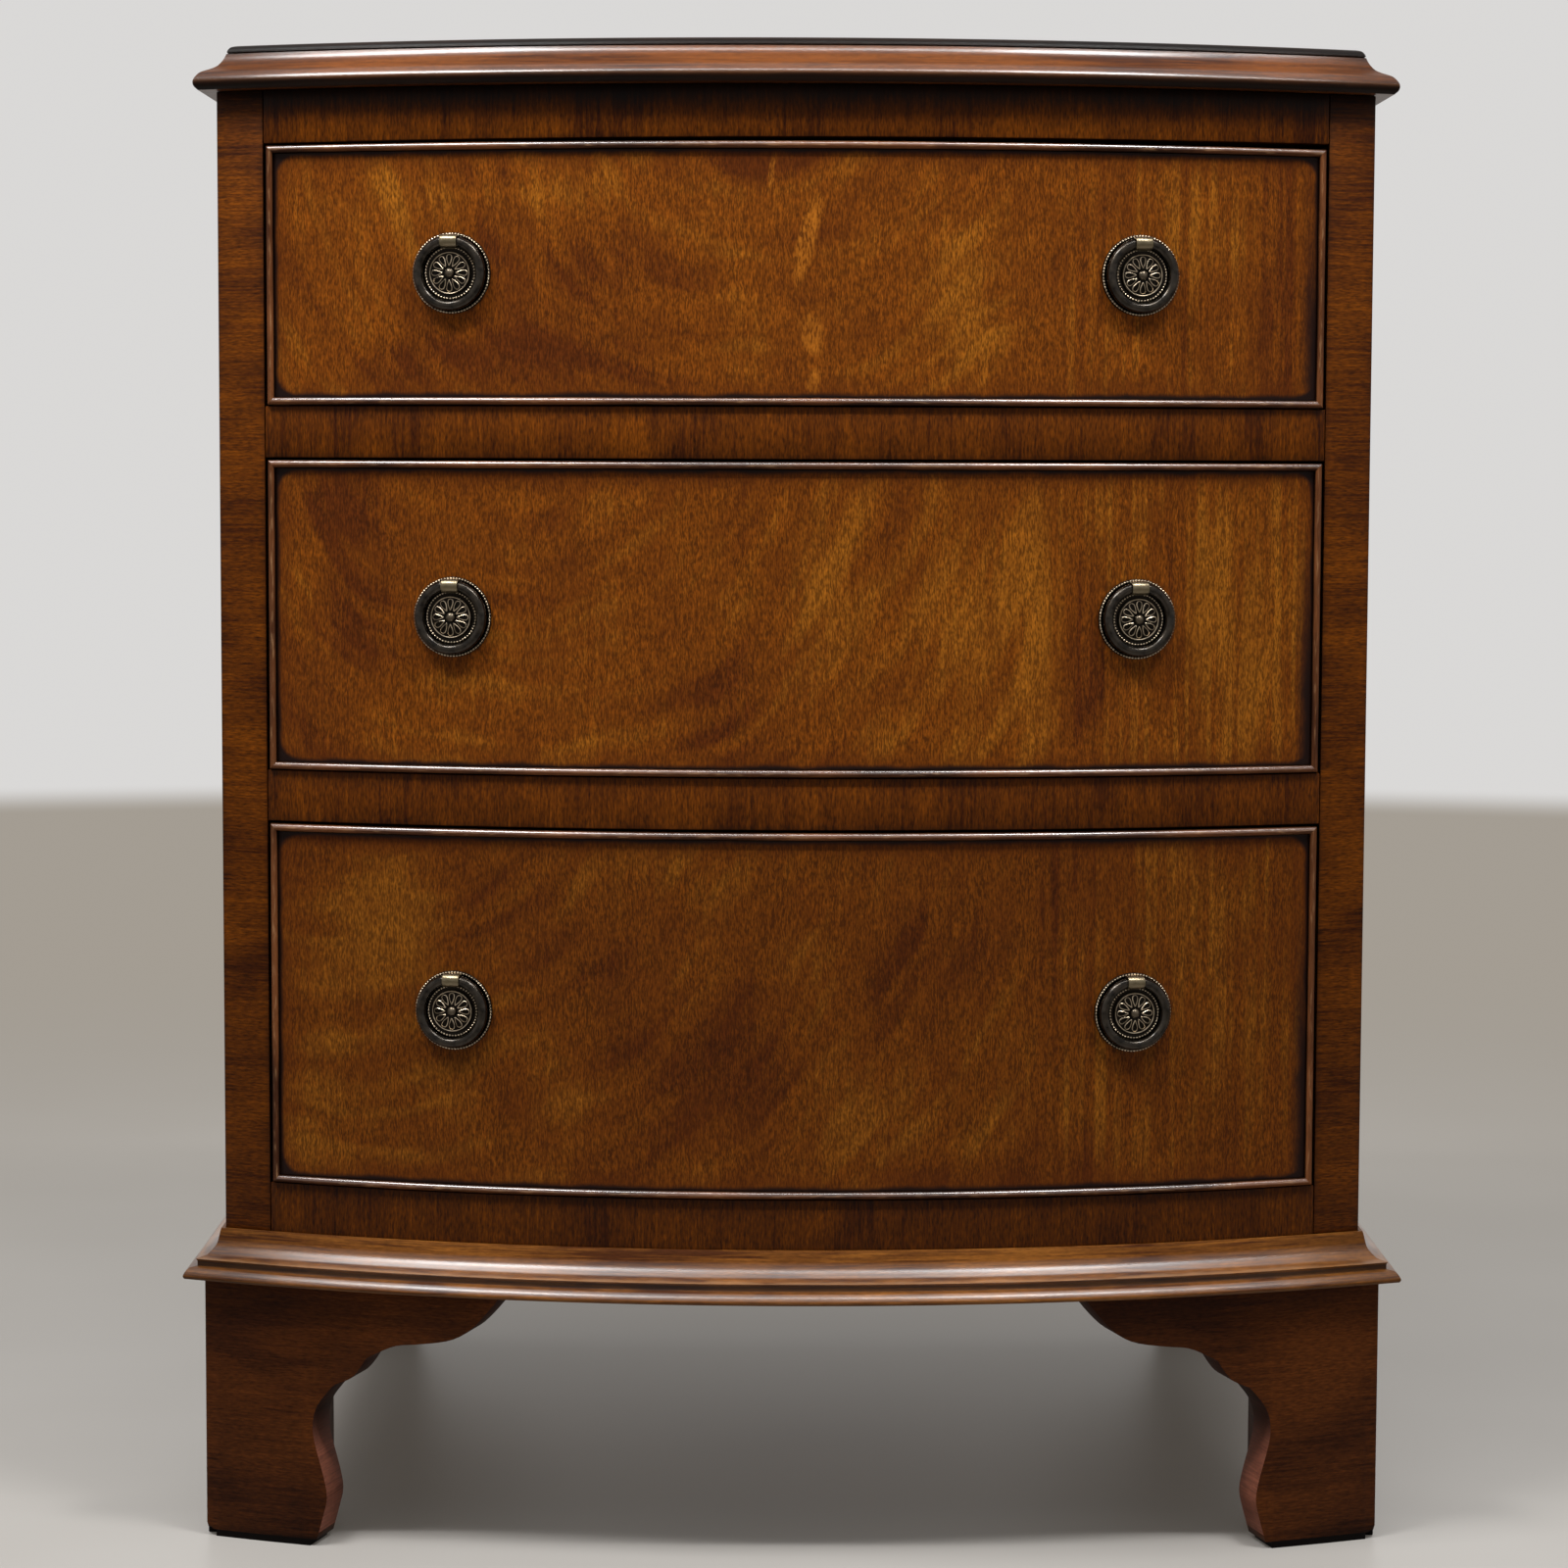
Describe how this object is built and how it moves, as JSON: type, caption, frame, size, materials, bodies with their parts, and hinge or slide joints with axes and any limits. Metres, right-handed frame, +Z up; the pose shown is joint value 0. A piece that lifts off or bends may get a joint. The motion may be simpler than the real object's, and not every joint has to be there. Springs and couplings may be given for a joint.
{
  "type": "bow front chest of drawers",
  "caption": "Small bow front chest of drawers with moulded top and base, cockbeaded drawers with ring pulls, and bracket feet.",
  "frame": {"origin": "on the floor, under the middle of the whole chest's box", "axes": "+Z up, -Y out of the bowed front, +X to the right of someone facing the front"},
  "size_m": [0.567, 0.4906, 0.6917],
  "materials": {
    "drawer_veneer": "polished mahogany veneer",
    "rail": "polished crossbanded mahogany",
    "stile": "polished mahogany",
    "moulding": "polished solid mahogany",
    "cockbead": "polished solid mahogany",
    "foot": "polished mahogany",
    "lining": "bare pale wood",
    "plywood": "bare plywood",
    "brass": "dark antique"
  },
  "bodies": {
    "carcass": {"top_board": "moulding", "side_left": "stile", "side_right": "stile", "top_front_rail": "rail", "upper_divider_rail": "rail", "lower_divider_rail": "rail", "bottom_front_rail": "rail", "top_back_rail": "lining", "top_kicker": "lining", "bottom_board": "lining", "back_panel": "plywood", "middle_drawer_runner_left": "lining", "middle_drawer_runner_right": "lining", "upper_drawer_runner_left": "lining", "upper_drawer_runner_right": "lining", "base_moulding_front": "moulding", "base_moulding_left": "moulding", "base_moulding_right": "moulding", "front_foot_bracket_left": "foot", "front_foot_bracket_right": "foot", "front_foot_side_bracket_left": "foot", "front_foot_side_bracket_right": "foot", "front_foot_block_left": "lining", "front_foot_block_right": "lining", "rear_foot_side_bracket_left": "foot", "rear_foot_side_bracket_right": "foot", "rear_foot_bracket_left": "lining", "rear_foot_bracket_right": "lining", "rear_foot_block_left": "lining", "rear_foot_block_right": "lining"},
    "lower_drawer": {"lower_drawer_front": "drawer_veneer", "lower_drawer_cockbead": "cockbead", "lower_drawer_side_left": "lining", "lower_drawer_side_right": "lining", "lower_drawer_back": "lining", "lower_drawer_bottom": "plywood", "lower_drawer_handle_plate_left": "brass", "lower_drawer_handle_plate_right": "brass"},
    "lower_ring_left": {"lower_drawer_handle_ring_left": "brass"},
    "lower_ring_right": {"lower_drawer_handle_ring_right": "brass"},
    "middle_drawer": {"middle_drawer_front": "drawer_veneer", "middle_drawer_cockbead": "cockbead", "middle_drawer_side_left": "lining", "middle_drawer_side_right": "lining", "middle_drawer_back": "lining", "middle_drawer_bottom": "plywood", "middle_drawer_handle_plate_left": "brass", "middle_drawer_handle_plate_right": "brass"},
    "middle_ring_left": {"middle_drawer_handle_ring_left": "brass"},
    "middle_ring_right": {"middle_drawer_handle_ring_right": "brass"},
    "upper_drawer": {"upper_drawer_front": "drawer_veneer", "upper_drawer_cockbead": "cockbead", "upper_drawer_side_left": "lining", "upper_drawer_side_right": "lining", "upper_drawer_back": "lining", "upper_drawer_bottom": "plywood", "upper_drawer_handle_plate_left": "brass", "upper_drawer_handle_plate_right": "brass"},
    "upper_ring_left": {"upper_drawer_handle_ring_left": "brass"},
    "upper_ring_right": {"upper_drawer_handle_ring_right": "brass"}
  },
  "joints": [
    {"name": "lower_drawer_slide", "type": "slide", "parent": "carcass", "child": "lower_drawer", "axis": [0, -1, 0], "range_m": [0, 0.28]},
    {"name": "lower_ring_left_pivot", "type": "hinge", "parent": "lower_drawer", "child": "lower_ring_left", "pos_m": [-0.15592, -0.21427, 0.2667], "axis": [-0.9769, 0.2138, 0], "range_deg": [0, 175]},
    {"name": "lower_ring_right_pivot", "type": "hinge", "parent": "lower_drawer", "child": "lower_ring_right", "pos_m": [0.15592, -0.21427, 0.2667], "axis": [-0.9769, -0.2138, 0], "range_deg": [0, 175]},
    {"name": "middle_drawer_slide", "type": "slide", "parent": "carcass", "child": "middle_drawer", "axis": [0, -1, 0], "range_m": [0, 0.28]},
    {"name": "middle_ring_left_pivot", "type": "hinge", "parent": "middle_drawer", "child": "middle_ring_left", "pos_m": [-0.15592, -0.21427, 0.44645], "axis": [-0.9769, 0.2138, 0], "range_deg": [0, 175]},
    {"name": "middle_ring_right_pivot", "type": "hinge", "parent": "middle_drawer", "child": "middle_ring_right", "pos_m": [0.15592, -0.21427, 0.44645], "axis": [-0.9769, -0.2138, 0], "range_deg": [0, 175]},
    {"name": "upper_drawer_slide", "type": "slide", "parent": "carcass", "child": "upper_drawer", "axis": [0, -1, 0], "range_m": [0, 0.28]},
    {"name": "upper_ring_left_pivot", "type": "hinge", "parent": "upper_drawer", "child": "upper_ring_left", "pos_m": [-0.15592, -0.21427, 0.6012], "axis": [-0.9769, 0.2138, 0], "range_deg": [0, 175]},
    {"name": "upper_ring_right_pivot", "type": "hinge", "parent": "upper_drawer", "child": "upper_ring_right", "pos_m": [0.15592, -0.21427, 0.6012], "axis": [-0.9769, -0.2138, 0], "range_deg": [0, 175]}
  ]
}
